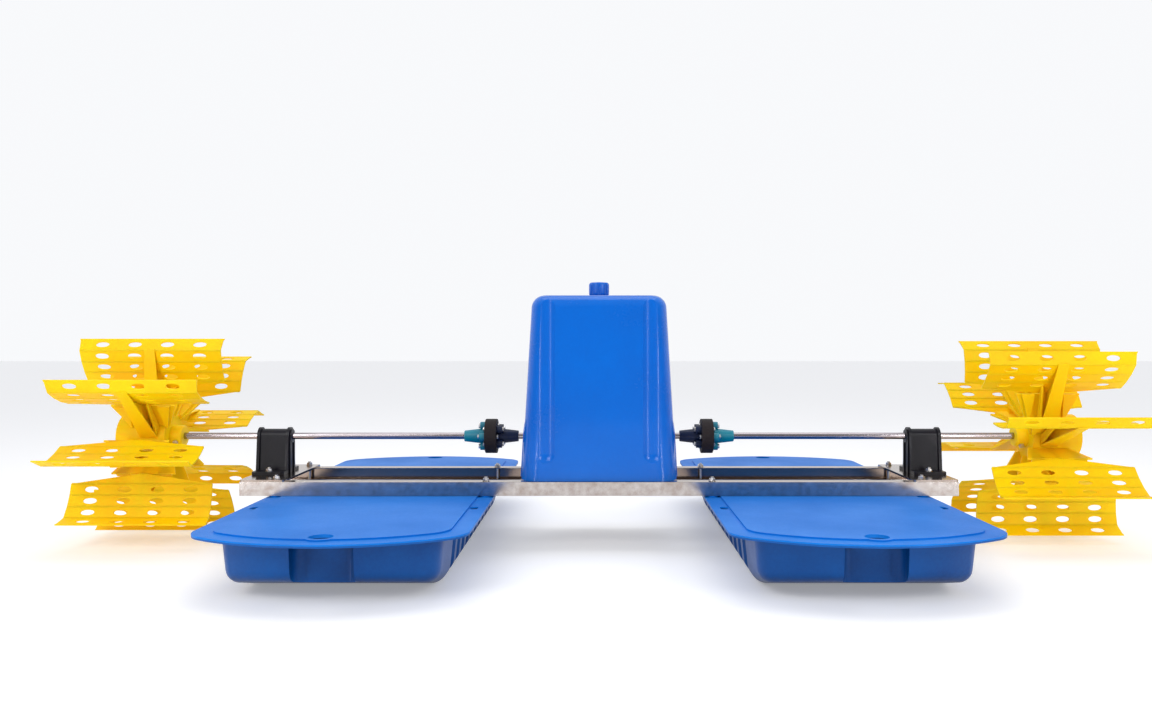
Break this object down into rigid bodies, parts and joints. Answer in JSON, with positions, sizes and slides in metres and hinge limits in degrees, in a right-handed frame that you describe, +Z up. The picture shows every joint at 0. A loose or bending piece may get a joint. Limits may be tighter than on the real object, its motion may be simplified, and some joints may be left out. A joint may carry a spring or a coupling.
{
  "type": "paddlewheel aerator",
  "caption": "Floating pond aerator: covered motor and worm gearbox on a channel frame over two floats, turning perforated paddle wheels through shafts with rubber couplings.",
  "frame": {"origin": "middle of the machine on the surface that the floats stand on", "axes": "+X to the right along the drive shaft, +Y from the front to the rear, +Z up; the motor cover stands in the middle"},
  "size_m": [3.116, 1.6496, 0.783],
  "materials": {
    "hull_plastic": "satin, darker blue",
    "deck_plastic": "satin azure",
    "cover_plastic": "semi-gloss blue",
    "frame_steel": "brushed stainless",
    "fastener_steel": "bright stainless",
    "block_plastic": "satin near-black",
    "bush_nylon": "matte",
    "outer_hub_paint": "satin teal",
    "inner_hub_paint": "satin dark navy",
    "coupling_rubber": "matte black",
    "wheel_plastic": "satin lemon yellow",
    "shaft_steel": "drawn stainless",
    "gear_bronze": "machined bronze",
    "case_iron": "cast grey",
    "bearing_steel": "ground",
    "motor_alloy": "cast alloy",
    "core_iron": "varnished",
    "fan_plastic": "matte",
    "cowl_paint": "satin grey",
    "box_plastic": "matte"
  },
  "bodies": {
    "floating_frame": {"float_hull_left": "hull_plastic", "float_hull_right": "hull_plastic", "float_deck_left": "deck_plastic", "float_deck_right": "deck_plastic", "motor_cover": "cover_plastic", "cover_knob": "cover_plastic", "front_beam": "frame_steel", "rear_beam": "frame_steel", "end_plate_left": "frame_steel", "end_plate_right": "frame_steel", "motor_base_plate": "frame_steel", "float_bolts": "fastener_steel", "float_nuts": "fastener_steel", "block_bolts": "fastener_steel", "block_nuts": "fastener_steel", "plate_bolts": "fastener_steel", "gearbox_bolts": "fastener_steel", "cap_bolts": "fastener_steel", "motor_bolts": "fastener_steel", "cover_stud": "fastener_steel", "bearing_block_left": "block_plastic", "bearing_block_right": "block_plastic", "bearing_bush_left": "bush_nylon", "bearing_bush_right": "bush_nylon", "oil_seal_left": "coupling_rubber", "oil_seal_right": "coupling_rubber", "gearbox_housing": "case_iron", "side_cap_left": "case_iron", "side_cap_right": "case_iron", "output_bearing_left": "bearing_steel", "output_bearing_right": "bearing_steel", "lower_worm_bearing": "bearing_steel", "upper_worm_bearing": "bearing_steel", "motor_top_bearing": "bearing_steel", "motor_flange": "motor_alloy", "motor_shell": "motor_alloy", "motor_end_bell": "motor_alloy", "stator": "core_iron", "fan_cowl": "cowl_paint", "terminal_box": "box_plastic", "cable_gland": "box_plastic"},
    "drive_line": {"output_shaft": "shaft_steel", "worm_wheel": "gear_bronze", "outer_hub_left": "outer_hub_paint", "outer_hub_right": "outer_hub_paint", "inner_hub_left": "inner_hub_paint", "inner_hub_right": "inner_hub_paint", "rubber_disc_left": "coupling_rubber", "rubber_disc_right": "coupling_rubber", "coupling_bolts_left": "fastener_steel", "coupling_bolts_right": "fastener_steel", "side_shaft_left": "shaft_steel", "side_shaft_right": "shaft_steel", "wheel_left": "wheel_plastic", "wheel_right": "wheel_plastic", "wheel_bolt_left": "fastener_steel", "wheel_bolt_right": "fastener_steel"},
    "motor_rotor": {"worm_shaft": "shaft_steel", "rotor": "core_iron", "fan": "fan_plastic"}
  },
  "joints": [
    {"name": "drive_spin", "type": "hinge", "parent": "floating_frame", "child": "drive_line", "pos_m": [0, 0, 0.312], "axis": [1, 0, 0], "continuous": true},
    {"name": "rotor_spin", "type": "hinge", "parent": "floating_frame", "child": "motor_rotor", "pos_m": [0, 0.058, 0.45], "axis": [0, 0, 1], "continuous": true}
  ],
  "couplings": [
    {"joint": "rotor_spin", "follows": "drive_spin", "ratio": -14}
  ]
}
